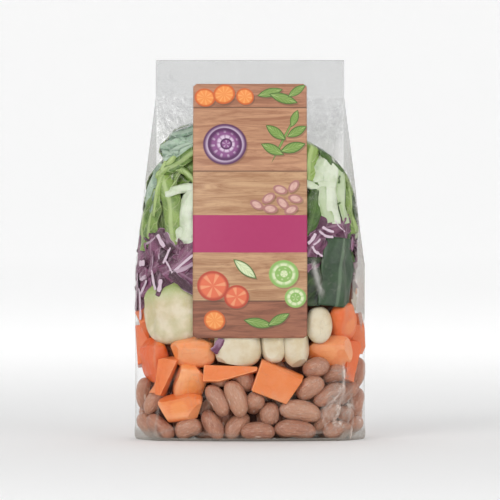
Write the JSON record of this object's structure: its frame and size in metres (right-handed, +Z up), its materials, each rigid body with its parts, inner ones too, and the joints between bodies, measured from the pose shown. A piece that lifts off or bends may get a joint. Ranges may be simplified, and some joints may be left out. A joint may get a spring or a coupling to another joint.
{
  "type": "bag of soup vegetable mix",
  "caption": "Standing clear film bag of cut carrot, potato, red cabbage, leafy greens and beans for soup, with a flat welded header, side gussets, a flat block bottom and a tall front label.",
  "frame": {"origin": "on the ground, under the middle of the standing bag", "axes": "+Z up from the flat bottom to the welded header, -Y out of the labelled front, +X to the right as the front is seen"},
  "size_m": [0.1396, 0.0718, 0.227],
  "materials": {
    "film": "gloss",
    "label": "satin",
    "carrot": "satin",
    "potato": "satin",
    "bean": "satin",
    "red_cabbage": "satin",
    "green_leaf": "satin"
  },
  "bodies": {
    "root": {"bag": "film", "label": "label"}
  },
  "joints": []
}
